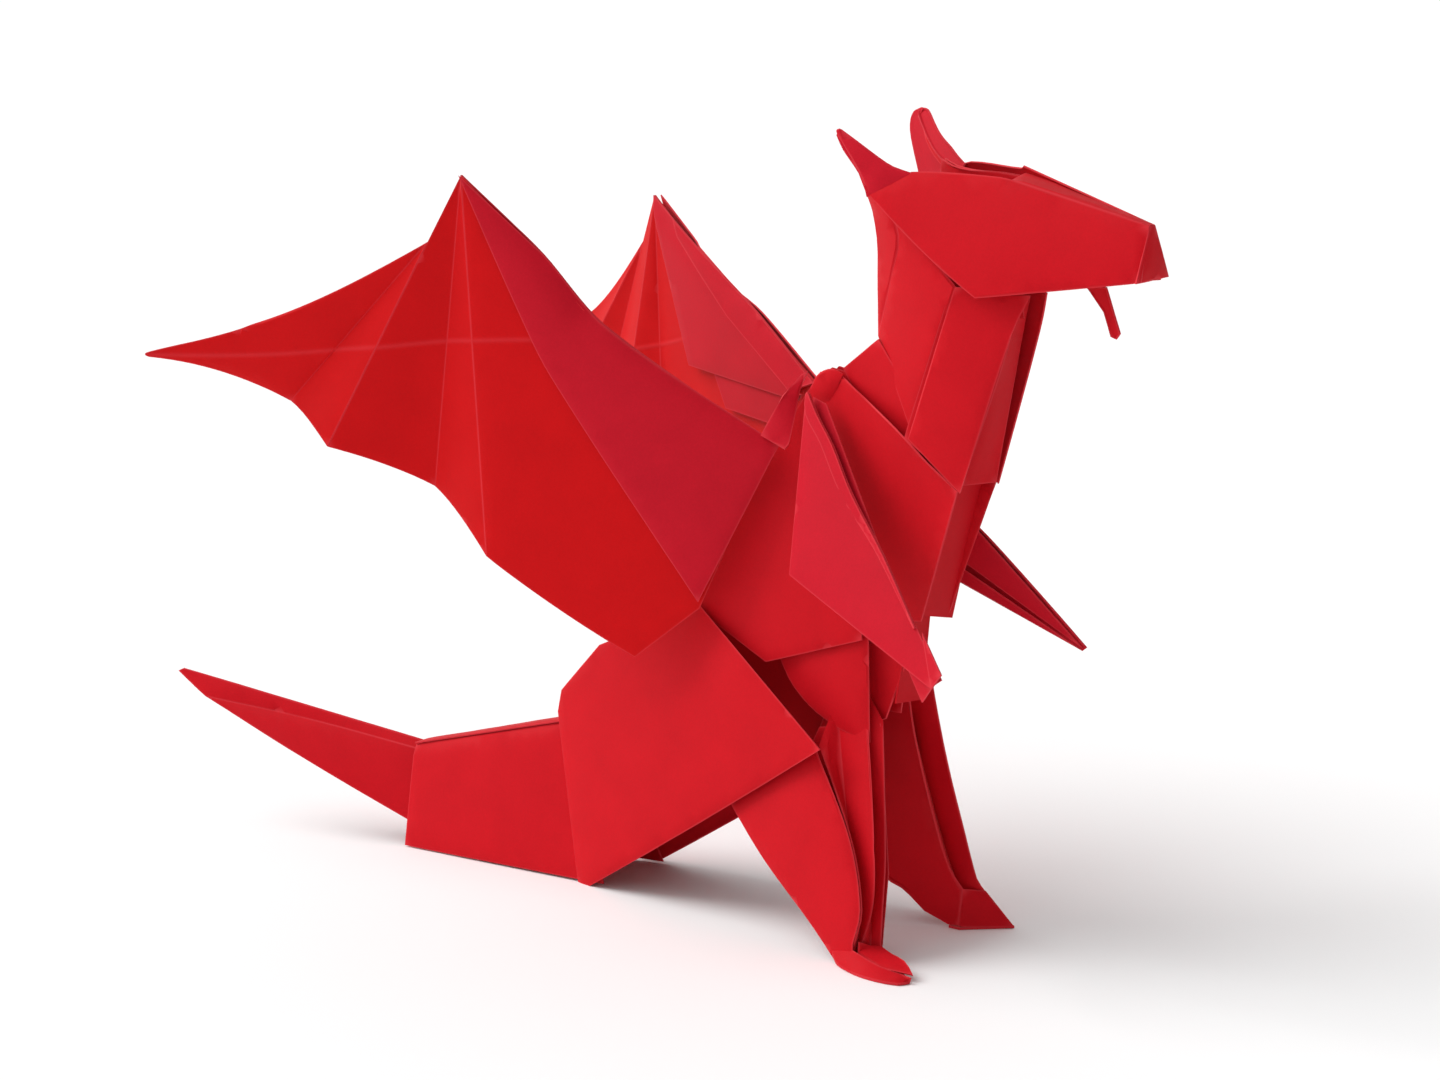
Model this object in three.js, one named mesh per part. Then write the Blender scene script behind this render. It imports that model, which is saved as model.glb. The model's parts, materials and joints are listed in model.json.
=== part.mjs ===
// Folded-paper dragon: every panel between two creases is its own flat plate of paper.
// Millimetres. +X points to the head, +Y to the dragon's left, +Z up, floor at Z = 0.
import * as THREE from 'three';

// ---- Driving dimensions -------------------------------------------------------------
const paper = { body: 0.6, flap: 0.5, membrane: 0.4 }; // built-up thickness of the folded layers
const crease = 0.55;       // a plate stops this far short of a crease that it shares
const cutEdge = 0.0;       // a free edge of the sheet
const layerStep = 1.2;     // spacing of one folded layer over the next
const wingRoot = { x: 32.5, y: 5.5 };                  // where each wing leaves the shoulder
const wingSweep = THREE.MathUtils.degToRad(21.5);      // wings trail outwards by this angle
const pleatDepth = 5;                                  // depth of the wing's accordion pleats
const soleThickness = 0.8;
const RIGHT = -1;
const LEFT = 1;

const reds = {
  body: 0xb81a26,
  flap: 0xc22232,
  membrane: 0xc4101a,
};

const dragon = new THREE.Group();
dragon.name = 'paper_dragon';

// ---- Plate maker --------------------------------------------------------------------

// Unit normal of a ring of points (Newell's method), so slightly twisted rings work too.
function ringNormal(ring) {
  const normal = new THREE.Vector3();
  ring.forEach((point, i) => {
    const next = ring[(i + 1) % ring.length];
    normal.x += (point.y - next.y) * (point.z + next.z);
    normal.y += (point.z - next.z) * (point.x + next.x);
    normal.z += (point.x - next.x) * (point.y + next.y);
  });
  return normal.normalize();
}

// Where two lines meet, each given by a point and a direction in the plane.
function meet(p, r, q, s) {
  const cross = r.x * s.y - r.y * s.x;
  const t = ((q.x - p.x) * s.y - (q.y - p.y) * s.x) / cross;
  return new THREE.Vector2(p.x + r.x * t, p.y + r.y * t);
}

// Moves each side of a flat counter-clockwise outline inwards by its own distance.
function insetOutline(outline, insets) {
  const sides = outline.map((point, i) => {
    const along = outline[(i + 1) % outline.length].clone().sub(point).normalize();
    const inward = new THREE.Vector2(-along.y, along.x);
    return { start: point.clone().addScaledVector(inward, insets[i]), along };
  });
  return sides.map((side, i) => {
    const before = sides[(i + sides.length - 1) % sides.length];
    return meet(before.start, before.along, side.start, side.along);
  });
}

// A flat plate through the corners. Each corner is [x, y, z] or [x, y, z, inset of the side
// that starts there]. `layer` lifts the plate off its own plane, outwards when positive.
function plate(name, corners, { thick = paper.body, layer = 0, color = reds.body } = {}) {
  const ring = corners.map(([x, y, z]) => new THREE.Vector3(x, y, z));
  const insets = corners.map((corner) => corner[3] ?? cutEdge);
  const normal = ringNormal(ring);
  const centre = ring.reduce((sum, p) => sum.add(p), new THREE.Vector3()).divideScalar(ring.length);
  const across = ring[1].clone().sub(ring[0]).projectOnPlane(normal).normalize();
  const up = new THREE.Vector3().crossVectors(normal, across);
  const outline = ring.map((p) => {
    const arm = p.clone().sub(centre);
    return new THREE.Vector2(arm.dot(across), arm.dot(up));
  });
  const shape = new THREE.Shape(insetOutline(outline, insets));
  const geometry = new THREE.ExtrudeGeometry(shape, { depth: thick, bevelEnabled: false });
  geometry.translate(0, 0, layer - thick / 2);
  const material = new THREE.MeshStandardMaterial({ color, roughness: 0.85, metalness: 0 });
  const mesh = new THREE.Mesh(geometry, material);
  mesh.name = name;
  mesh.position.copy(centre);
  mesh.quaternion.setFromRotationMatrix(new THREE.Matrix4().makeBasis(across, up, normal));
  dragon.add(mesh);
}

// Corners are written for the right side (negative Y), in order, counter-clockwise as seen from
// outside. The left side is their mirror image, which reverses the order and the side insets.
function mirrored(corners) {
  const count = corners.length;
  return corners.map((_, i) => {
    const [x, y, z] = corners[count - 1 - i];
    const inset = corners[(2 * count - 2 - i) % count][3];
    return [x, -y, z, inset];
  });
}

function pair(name, corners, options) {
  plate(`right_${name}`, corners, options);
  plate(`left_${name}`, mirrored(corners), options);
}

// ---- Body: torso, chest, haunches, rump ---------------------------------------------

function buildBody() {
  pair('torso_panel', [
    [34.4, -0.9, 91.6, crease],
    [8.0, -5.4, 50.6, cutEdge],
    [18.0, -5.4, 50.4],
    [30.0, -6.1, 45.0],
    [49.6, -5.3, 51.4, crease],
    [43.9, -0.9, 92.8],
  ]);
  pair('chest_panel', [
    [44.9, -1.0, 92.6, crease],
    [50.8, -3.4, 54.6],
    [60.3, -3.9, 55.6, crease],
    [66.0, -3.8, 77.2],
  ]);
  plate('chest_front', [
    [58.6, -3.0, 57.0],
    [58.6, 3.0, 57.0],
    [64.2, 3.0, 76.0],
    [64.2, -3.0, 76.0],
  ]);
  plate('chest_lower_layer', [
    [55.8, -2.6, 45.6],
    [55.8, 2.6, 45.6],
    [57.6, 2.6, 55.6],
    [57.6, -2.6, 55.6],
  ]);
  plate('back_panel', [
    [32.0, 0.7, 89.4],
    [32.0, -0.7, 89.4],
    [5.6, -4.4, 50.0],
    [5.6, 4.4, 50.0],
  ], { thick: paper.flap });
  plate('rump_panel', [
    [-6.4, 3.4, 42.3],
    [-6.4, -3.4, 42.3],
    [-15.6, -3.4, 32.8],
    [-15.6, 3.4, 32.8],
  ], { thick: paper.flap });
  plate('saddle_panel', [
    [3.9, 3.9, 48.0],
    [3.9, -3.9, 48.0],
    [-5.6, -3.5, 43.4],
    [-5.6, 3.5, 43.4],
  ], { thick: paper.flap });
  pair('haunch_panel', [
    [-16.5, -4.5, 32.8],
    [-17.5, -5.0, 27.6, crease],
    [-9.6, -9.4, 0.0],
    [-5.9, -9.8, 0.0],
    [45.9, -12.5, 33.8],
    [16.1, -6.3, 52.8],
    [-7.6, -4.5, 42.2],
  ]);
  pair('belly_flap', [
    [30.5, -4.7, 47.0],
    [42.0, -5.4, 37.4],
    [50.4, -5.3, 37.0],
    [49.4, -4.1, 53.0],
  ], { thick: paper.flap });
}

// ---- Neck and head ------------------------------------------------------------------

function buildNeck() {
  plate('neck_back', [
    [50.3, 4.6, 121.6],
    [50.3, -4.6, 121.6],
    [48.3, -0.7, 102.0],
    [48.3, 0.7, 102.0],
  ], { thick: paper.flap });
  pair('neck_rear_panel', [
    [52.4, -5.6, 122.0, crease],
    [49.4, -1.3, 100.4, crease],
    [57.7, -5.0, 85.8, crease],
    [66.8, -5.8, 110.0],
  ]);
  pair('collar_panel', [
    [49.4, -1.3, 100.4],
    [44.6, -1.1, 94.6],
    [57.7, -5.0, 85.8, crease],
  ], { thick: paper.flap });
  pair('neck_side_panel', [
    [66.8, -5.8, 110.0, crease],
    [57.7, -5.0, 85.8],
    [67.4, -5.4, 77.8, crease],
    [78.0, -2.5, 109.2],
  ]);
  plate('neck_front', [
    [68.0, -4.2, 79.0],
    [68.0, 4.2, 79.0],
    [77.9, 1.2, 108.4],
    [77.9, -1.2, 108.4],
  ]);
}

function buildHead() {
  pair('head_panel', [
    [74.0, -3.0, 127.0, crease],
    [58.0, -5.4, 127.6, crease],
    [51.0, -7.1, 123.6],
    [71.6, -8.0, 108.9],
    [98.7, -3.2, 112.3, crease],
    [98.0, -1.0, 121.1, crease],
  ]);
  plate('snout_bridge', [
    [75.2, 2.2, 127.0],
    [75.2, -2.2, 127.0],
    [97.4, -0.6, 121.6],
    [97.4, 0.6, 121.6],
  ], { thick: paper.flap });
  plate('snout_front', [
    [99.0, -2.4, 112.4],
    [99.0, 2.4, 112.4],
    [98.5, 0.5, 120.4],
    [98.5, -0.5, 120.4],
  ], { thick: paper.flap });
  plate('chin_spike', [
    [86.4, 0, 111.2],
    [92.8, 0, 103.7],
    [91.4, 0, 111.4],
  ], { thick: paper.flap });
  plate('right_ear', earCorners(133.5), { thick: paper.flap, color: reds.flap });
  plate('left_ear', mirrored(earCorners(136.5)), { thick: paper.flap, color: reds.flap });
}

// Each ear folds up from the head along the same crease; the left one stands a little higher.
function earCorners(tipHeight) {
  return [
    [58.0, -5.4, 127.6],
    [48.0, -12.0, tipHeight],
    [51.0, -7.1, 123.6, crease],
  ];
}

// ---- Arms and legs ------------------------------------------------------------------

function armCorners(tipHeight) {
  return [
    [36.6, -4.8, 91.9],
    [41.5, -15.0, 62.7],
    [73.7, -22.0, tipHeight],
    [75.6, -21.7, tipHeight + 1.5],
    [41.3, -5.5, 90.9],
  ];
}

function armLiningCorners(tipHeight) {
  return [
    [38.0, -5.3, 90.4],
    [42.6, -14.6, 63.8],
    [71.6, -21.2, tipHeight + 2.1],
    [41.0, -5.8, 89.6],
  ];
}

// The left arm hangs a little lower than the right one.
function buildArms() {
  const panel = { thick: paper.flap, color: reds.flap };
  const lining = { ...panel, layer: -layerStep };
  plate('right_arm_panel', armCorners(50.1), panel);
  plate('right_arm_lining', armLiningCorners(50.1), lining);
  plate('left_arm_panel', mirrored(armCorners(47.6)), panel);
  plate('left_arm_lining', mirrored(armLiningCorners(47.6)), lining);
}

// Front strip of a leg, from its outer top corner down to the foot and back up the inner ridge.
function legStripCorners(outerTop) {
  return [
    outerTop,
    [57.0, -12.4, 15.5],
    [58.2, -14.2, 5.0],
    [58.6, -9.9, 2.4, crease],
    [57.4, -8.2, 14.0, crease],
    [52.4, -3.5, 38.0],
  ];
}

function buildLegs() {
  pair('leg_outer_panel', [
    [43.3, -8.6, 32.4],
    [40.6, -8.0, 37.6],
    [33.0, -8.0, 36.0],
    [25.6, -9.7, 20.4],
    [46.4, -14.9, 5.3],
    [54.6, -17.4, 1.3],
    [57.0, -17.2, 3.4],
    [59.2, -16.0, 10.2],
    [52.4, -14.0, 19.0],
  ]);
  plate('right_leg_front_strip', legStripCorners([51.0, -6.3, 37.0]));
  plate('left_leg_front_strip', mirrored(legStripCorners([54.8, -7.7, 37.0])));
  pair('leg_inner_panel', [
    [40.0, -4.2, 35.0],
    [37.0, -6.6, 27.0],
    [44.0, -9.5, 7.0],
    [58.2, -9.3, 1.8, crease],
    [57.2, -8.2, 14.0, crease],
    [52.2, -3.4, 37.0],
  ]);
  const sole = [
    [58.0, -9.4, soleThickness / 2],
    [55.8, -18.8, soleThickness / 2],
    [61.8, -19.2, soleThickness / 2],
    [67.4, -17.0, soleThickness / 2],
  ];
  pair('foot', sole, { thick: soleThickness });
}

// ---- Wings --------------------------------------------------------------------------

// A point of a wing from its distance behind the root, its height, and how far it stands out
// from the wing's mean plane.
function wingPoint(side, back, height, out = 0) {
  const x = wingRoot.x - back * Math.cos(wingSweep) + out * Math.sin(wingSweep);
  const y = wingRoot.y + back * Math.sin(wingSweep) + out * Math.cos(wingSweep);
  return [x, side * y, height];
}

// Corners are [back, height, out, inset] and run counter-clockwise as seen from the dragon's right.
function wingPlate(side, name, corners, options) {
  const ring = corners.map(([back, height, out, inset]) => [
    ...wingPoint(RIGHT, back, height, out),
    inset,
  ]);
  if (side === RIGHT) {
    plate(`right_${name}`, ring, options);
  } else {
    plate(`left_${name}`, mirrored(ring), options);
  }
}

const wingOutline = {
  [RIGHT]: {
    peak: [55.4, 124.7],
    bend: [61.6, 113.4],
    edge: [94.6, 98.3],
    tip: [115.6, 92.4],
    valleyOut: [89.4, 84.8],
    ridgeOut: [80.8, 77.6],
    valleyIn: [62.8, 71.1],
    ridgeIn: [51.9, 60.1],
    hemCorner: [25.4, 44.4],
    hemRoot: [14.0, 53.5],
    root: [1.4, 81.7],
    leading: [[30.8, 100.6], [41.2, 111.9]],
    flapRoot: [0.2, 81.7],
    flapToe: [13.9, 54.8],
    flapFold: [[39.6, 91.9], [44.8, 101.8]],
  },
  [LEFT]: {
    peak: [56.0, 118.1],
    bend: [60.4, 109.4],
    edge: [78.6, 95.0],
    tip: [112.0, 77.0],
    valleyOut: [87.0, 74.0],
    ridgeOut: [78.4, 68.6],
    valleyIn: [62.8, 65.5],
    ridgeIn: [51.9, 57.0],
    hemCorner: [25.4, 44.4],
    hemRoot: [14.0, 53.5],
    root: [1.4, 90.6],
    leading: [[19.6, 100.6], [40.0, 110.0]],
    flapRoot: [0.4, 90.6],
    flapToe: [13.9, 54.8],
    flapFold: [[39.6, 88.0], [45.6, 99.0]],
  },
};

function buildWing(side) {
  const w = wingOutline[side];
  const thin = { thick: paper.membrane, color: reds.membrane };
  const flap = { thick: paper.flap, color: reds.flap };
  const at = ([back, height], out = 0, inset = cutEdge) => [back, height, out, inset];
  const [leadLow, leadHigh] = w.leading;
  const [foldLow, foldHigh] = w.flapFold;

  // Leading flap, folded over the outside of the membrane.
  wingPlate(side, 'wing_leading_flap', [
    at(w.peak),
    at(foldHigh),
    at(foldLow),
    at(w.flapToe),
    at(w.flapRoot),
    at(leadLow),
    at(leadHigh),
  ], { ...flap, layer: layerStep });

  // Inner flap, folded over the body side of the membrane.
  wingPlate(side, 'wing_inner_flap', [
    at(w.peak),
    [41.8, 89.0, 0, cutEdge],
    [10.0, w.root[1] - 3.2, 0, cutEdge],
    at(w.root),
    at(leadLow),
    at(leadHigh),
  ], { ...flap, layer: -layerStep });

  // The membrane: one broad panel, then four pleats that fan out behind it.
  wingPlate(side, 'wing_membrane_1', [
    at(w.peak, 0, crease),
    at(w.ridgeIn),
    at(w.hemCorner),
    at(w.hemRoot),
    at(w.root),
    at(leadLow),
    at(leadHigh),
  ], thin);
  wingPlate(side, 'wing_membrane_2', [
    at(w.peak, 0, crease),
    at(w.valleyIn, -pleatDepth),
    at(w.ridgeIn, 0, crease),
  ], thin);
  wingPlate(side, 'wing_membrane_3', [
    at(w.peak, 0, crease),
    at(w.ridgeOut),
    at(w.valleyIn, -pleatDepth, crease),
  ], thin);
  wingPlate(side, 'wing_membrane_4', [
    at(w.bend, 0, crease),
    at(w.valleyOut, -pleatDepth),
    at(w.ridgeOut, 0, crease),
  ], thin);
  wingPlate(side, 'wing_membrane_5', [
    at(w.bend),
    at(w.edge, -1),
    at(w.tip),
    at(w.valleyOut, -pleatDepth, crease),
  ], thin);
}

// Small gusset that joins the right wing's root to the back ridge.
function buildGusset() {
  plate('right_wing_gusset', [
    [30.5, -6.2, 84.8],
    [33.2, -5.2, 82.8],
    [32.9, -1.9, 91.2],
  ], { thick: paper.flap, color: reds.flap });
}

// ---- Tail ---------------------------------------------------------------------------

function buildTail() {
  plate('tail_base_right', [
    [-17.9, -4.8, 27.4, crease],
    [-49.8, -7.5, 18.5, crease],
    [-48.7, -12.8, 0.4],
    [-10.0, -9.4, 0.4, crease],
  ]);
  plate('tail_base_left', [
    [-10.0, 9.4, 0.4],
    [-48.7, -0.8, 0.4, crease],
    [-49.8, -5.1, 18.5, crease],
    [-17.9, 4.8, 27.4, crease],
  ]);
  plate('tail_base_top', [
    [-18.4, 3.7, 27.4],
    [-18.4, -3.7, 27.4],
    [-48.6, -6.9, 19.0],
    [-48.6, -5.7, 19.0],
  ], { thick: paper.flap });
  plate('tail_tip_right', [
    [-51.0, -7.6, 18.6],
    [-98.9, -20.0, 27.2],
    [-89.4, -20.2, 23.6],
    [-50.6, -12.6, 4.6],
  ]);
  plate('tail_tip_left', [
    [-50.6, -1.4, 4.6],
    [-88.6, -17.4, 23.6],
    [-98.7, -19.4, 27.4],
    [-51.0, -5.6, 18.6],
  ]);
}

buildBody();
buildNeck();
buildHead();
buildArms();
buildLegs();
[RIGHT, LEFT].forEach(buildWing);
buildGusset();
buildTail();

export default dragon;
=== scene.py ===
import json
import math

import bpy
import numpy as np
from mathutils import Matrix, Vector, noise
from mathutils.geometry import delaunay_2d_cdt

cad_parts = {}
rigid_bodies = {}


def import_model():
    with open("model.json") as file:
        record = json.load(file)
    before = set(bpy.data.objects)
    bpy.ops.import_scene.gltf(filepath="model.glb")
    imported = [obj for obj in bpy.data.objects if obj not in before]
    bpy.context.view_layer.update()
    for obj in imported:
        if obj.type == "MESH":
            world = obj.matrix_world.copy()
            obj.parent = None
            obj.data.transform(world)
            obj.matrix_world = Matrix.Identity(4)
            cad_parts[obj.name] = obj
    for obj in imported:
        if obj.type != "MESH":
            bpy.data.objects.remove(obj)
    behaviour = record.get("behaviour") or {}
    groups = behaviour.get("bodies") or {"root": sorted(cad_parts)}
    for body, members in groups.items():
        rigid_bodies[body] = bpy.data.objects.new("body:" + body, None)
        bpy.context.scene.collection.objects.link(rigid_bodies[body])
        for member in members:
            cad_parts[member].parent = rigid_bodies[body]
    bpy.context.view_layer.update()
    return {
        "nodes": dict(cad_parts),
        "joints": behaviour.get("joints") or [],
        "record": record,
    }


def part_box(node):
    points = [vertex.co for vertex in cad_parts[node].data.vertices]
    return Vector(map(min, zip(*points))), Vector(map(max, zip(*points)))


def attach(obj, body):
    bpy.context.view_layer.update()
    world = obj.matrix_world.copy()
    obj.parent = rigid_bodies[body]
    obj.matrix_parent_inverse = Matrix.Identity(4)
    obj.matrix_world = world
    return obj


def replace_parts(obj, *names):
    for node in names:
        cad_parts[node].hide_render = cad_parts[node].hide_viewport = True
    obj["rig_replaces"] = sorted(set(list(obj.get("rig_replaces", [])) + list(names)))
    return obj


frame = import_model()

# A folded-paper dragon. Every flat CAD panel is replaced by a thin sheet of paper of the same
# outline, bent and creased as a folded sheet is. Millimetres until a mesh is made.
MM = 0.001
LAYER = 0.28  # thickness of one folded layer of the sheet
SOLE = 0.45  # thickness of a foot's sole, which is several layers
GRID = 2.0  # spacing of a sheet's inner points
GRID_ROW = 0.866  # rows of the triangular grid lie this share of GRID apart
EDGE_BAND = 0.30  # width of the paler band along a cut edge or a fold
PLAIN_REACH = 1.5  # an edge this near to a plain line isn't paler
FOLD_REACH = 2.6  # corners this near to each other meet on one crease
WAVE = 0.10  # height of the paper's slight waviness
LONG_WAVE = 23.0  # length of the wide waves, and of the short ones
SHORT_WAVE = 9.0
SHARP_ANGLE = 32.0  # degrees; a bend above this shades as a crease
SAME_WAY = 0.999  # cosine above which two faces point the same way
SKEW = (0.31, 0.57, 0.76)  # a direction that no panel faces
FAR_AWAY = 1000.0  # distance value for points that have no old crease
SIDES = {"right": -1.0, "left": 1.0}  # and the sign of Y on each side


# ---- What the frame gives ----

def cad_corners(node):
    """Corners of a flat CAD plate's middle plane, from its highest corner on, and its outward
    normal. Left plates run the other way round, so they match their right twins."""
    mesh = frame["nodes"][node].data
    places = np.array([vertex.co for vertex in mesh.vertices]) / MM
    points, weld = np.unique(np.round(places, 3), axis=0, return_inverse=True)
    weld = weld.ravel()
    faces = [[int(weld[i]) for i in face.vertices] for face in mesh.polygons]
    areas = np.array([face.area for face in mesh.polygons])
    normals = np.array([face.normal for face in mesh.polygons])
    shared = (np.abs(normals @ normals.T) > SAME_WAY) @ areas
    normal = normals[int(np.argmax(shared))]
    if normal @ outward_hint(node, points.mean(0)) < 0:
        normal = -normal
    cap = [face for face, n in zip(faces, normals) if n @ normal > SAME_WAY]
    directed = {(f[i], f[(i + 1) % len(f)]) for f in cap for i in range(len(f))}
    ahead = {a: b for a, b in directed if (b, a) not in directed}
    loop = [max(ahead, key=lambda i: round(float(points[i][2]), 2))]
    while ahead[loop[-1]] != loop[0]:
        loop.append(ahead[loop[-1]])
    if node.startswith("left_"):
        loop = loop[:1] + loop[:0:-1]
    depth = points @ normal
    return points[loop] - normal * (depth.max() - depth.min()) / 2, normal


def outward_hint(node, centre):
    """A direction that points out of the dragon at a plate."""
    side = node.split("_")[0]
    if side in SIDES:
        return np.array([0.05, SIDES[side], 0.02])
    body = next(b for b, members in groups.items() if node in members)
    boxes = [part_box(member) for member in groups[body]]
    middle = np.mean([(np.array(low) + np.array(high)) / 2 for low, high in boxes], axis=0)
    return centre - middle / MM + np.array([0.01, 0.02, 0.02])


groups = frame["record"]["behaviour"]["bodies"]
body_of = {node: body for body, members in groups.items() for node in members}
plates = {node: cad_corners(node) for node in frame["nodes"]}
corners = {node: plate[0] for node, plate in plates.items()}
outward = {node: plate[1] for node, plate in plates.items()}
hinges = {
    joint["name"]: (np.array(joint["pos_m"]) / MM, np.array(joint["axis"]))
    for joint in frame["joints"]
}
slot_of = {row["node"]: row["material_slot"] for row in frame["record"]["subparts"]}


def fold(*nodes):
    """Brings the matching corners of panels together on the crease that they share."""
    for i, point in enumerate(corners[nodes[0]]):
        met = [(nodes[0], i)]
        for other in nodes[1:]:
            gaps = np.linalg.norm(corners[other] - point, axis=1)
            if gaps.min() < FOLD_REACH:
                met.append((other, int(np.argmin(gaps))))
        if len(met) > 1:
            shared = np.mean([corners[node][j] for node, j in met], axis=0)
            for node, j in met:
                corners[node][j] = shared


# ---- Sheet maker ----

def unit(vector):
    return np.asarray(vector, float) / np.linalg.norm(vector)


def along(a, b, share):
    return a + (b - a) * share


def trace(points, soft=(), bows=None):
    """A closed outline through the corners. The line runs smoothly through a corner in `soft`,
    and `bows` gives how far the middle of a side stands off the straight line."""
    count = len(points)
    line = []
    for i in range(count):
        a, b = points[i], points[(i + 1) % count]
        length = np.linalg.norm(b - a)
        start = end = b - a
        if i in soft:
            start = unit(b - points[i - 1]) * length
        if (i + 1) % count in soft:
            end = unit(points[(i + 2) % count] - a) * length
        bow = np.array((bows or {}).get(i, (0.0, 0.0, 0.0)))
        pieces = max(2, round(length / GRID))
        for t in np.arange(pieces) / pieces:
            line.append(
                a * (2 * t**3 - 3 * t**2 + 1) + b * (3 * t**2 - 2 * t**3)
                + start * (t**3 - 2 * t**2 + t) + end * (t**3 - t**2)
                + bow * 4 * t * (1 - t)
            )
    return np.array(line)


def outward_loop(outline, direction):
    """The outline, turned to run counter-clockwise as seen from that direction."""
    middle = outline.mean(0)
    turned = np.cross(outline - middle, np.roll(outline, -1, axis=0) - middle).sum(0)
    return outline if turned @ direction > 0 else outline[::-1]


def rounded(points, index, radius):
    """The corners with one of them swapped for a short arc."""
    before, tip, after = points[index - 1], points[index], points[(index + 1) % len(points)]
    a = tip + unit(before - tip) * radius
    b = tip + unit(after - tip) * radius
    arc = [a * (1 - t) ** 2 + tip * 2 * t * (1 - t) + b * t**2 for t in (0, 0.25, 0.5, 0.75, 1)]
    return np.array([*points[:index], *arc, *points[index + 1:]])


def distance_to(points, path):
    """Distance of each point from a path of straight pieces."""
    nearest = np.full(len(points), FAR_AWAY)
    for a, b in zip(path[:-1], path[1:]):
        t = np.clip((points - a) @ (b - a) / ((b - a) @ (b - a)), 0, 1)
        nearest = np.minimum(nearest, np.linalg.norm(points - a - t[:, None] * (b - a), axis=1))
    return nearest


def inside(points, outline):
    """Which flat points lie inside a flat outline."""
    x, y = points[:, 0], points[:, 1]
    within = np.zeros(len(points), bool)
    for (ax, ay), (bx, by) in zip(outline, np.roll(outline, -1, axis=0)):
        if ay != by:
            crosses = (ay > y) != (by > y)
            within ^= crosses & (x < (bx - ax) * (y - ay) / (by - ay) + ax)
    return within


def inner_points(outline):
    """A row of points just inside a flat outline, then an even grid over the rest."""
    ahead = np.roll(outline, -1, axis=0)
    behind = np.roll(outline, 1, axis=0)
    run = ahead - behind
    run /= np.linalg.norm(run, axis=1)[:, None]
    row = outline + np.stack([-run[:, 1], run[:, 0]], 1) * EDGE_BAND
    low, high = outline.min(0), outline.max(0)
    rows = np.arange(low[1], high[1], GRID * GRID_ROW)
    grid = np.array([
        (x + (j % 2) * GRID / 2, y)
        for j, y in enumerate(rows)
        for x in np.arange(low[0], high[0], GRID)
    ])
    closed = np.vstack([outline, outline[:1]])
    row = row[inside(row, outline) & (distance_to(row, closed) > EDGE_BAND * 0.8)]
    grid = grid[inside(grid, outline) & (distance_to(grid, closed) > GRID * 0.55)]
    return np.vstack([row, grid])


def span(outline, bulge):
    """Triangles over a closed outline in space, on a smooth surface that the outline holds. The
    middle stands `bulge` proud. Gives points, triangles and whether each is on the outline."""
    centre = outline.mean(0)
    ahead = np.roll(outline, -1, axis=0)
    normal = unit(np.cross(outline - centre, ahead - centre).sum(0))
    across = unit(np.cross(normal, SKEW))
    up = np.cross(normal, across)
    flat = np.stack([(outline - centre) @ across, (outline - centre) @ up], 1)
    height = (outline - centre) @ normal
    cloud = np.vstack([flat, inner_points(flat)])
    rim = len(flat)
    made = delaunay_2d_cdt([Vector(p) for p in cloud], [], [list(range(rim))], 1, 1e-5)
    flat = np.array([list(p) for p in made[0]])
    source = [origin[0] if origin else rim for origin in made[3]]
    triangles = np.array([list(face) for face in made[2]])
    on_rim = np.array([s < rim for s in source])
    known = np.array([height[s] if s < rim else 0.0 for s in source])
    free = np.flatnonzero(~on_rim)
    place = np.full(len(flat), -1)
    place[free] = np.arange(len(free))
    matrix = np.zeros((len(free), len(free)))
    held = np.zeros(len(free))
    pairs = {tuple(sorted((int(t[i]), int(t[(i + 1) % 3])))) for t in triangles for i in range(3)}
    for a, b in pairs:
        for i, j in ((a, b), (b, a)):
            if place[i] < 0:
                continue
            matrix[place[i], place[i]] += 1
            if place[j] < 0:
                held[place[i]] += known[j]
            else:
                matrix[place[i], place[j]] -= 1
    if len(free):
        spread = np.linalg.solve(matrix, np.stack([held, np.ones(len(free))], 1))
        known[free] = spread[:, 0] + bulge * spread[:, 1] / spread[:, 1].max()
    points = centre + np.outer(flat[:, 0], across) + np.outer(flat[:, 1], up)
    points += np.outer(known, normal)
    return points, triangles, on_rim


def press(points, path, push, width, apex=None, reach=30.0):
    """Pushes the points near a path by `push`, fading over `width`. Near `apex`, where folds
    converge, both shrink to nothing."""
    scale = np.ones(len(points))
    if apex is not None:
        scale = np.clip(np.linalg.norm(points - apex, axis=1) / reach, 0.02, 1)
    near = np.clip(1 - distance_to(points, path) / (width * scale), 0, 1) ** 2
    return points + (near * scale)[:, None] * np.asarray(push)


def wave(points, seed):
    """Slight waviness, as a number for each point."""
    return np.array([
        noise.noise(Vector(p) / LONG_WAVE + Vector((seed, 0, 0)))
        + 0.5 * noise.noise(Vector(p) / SHORT_WAVE + Vector((0, seed, 0)))
        for p in points
    ])


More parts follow.
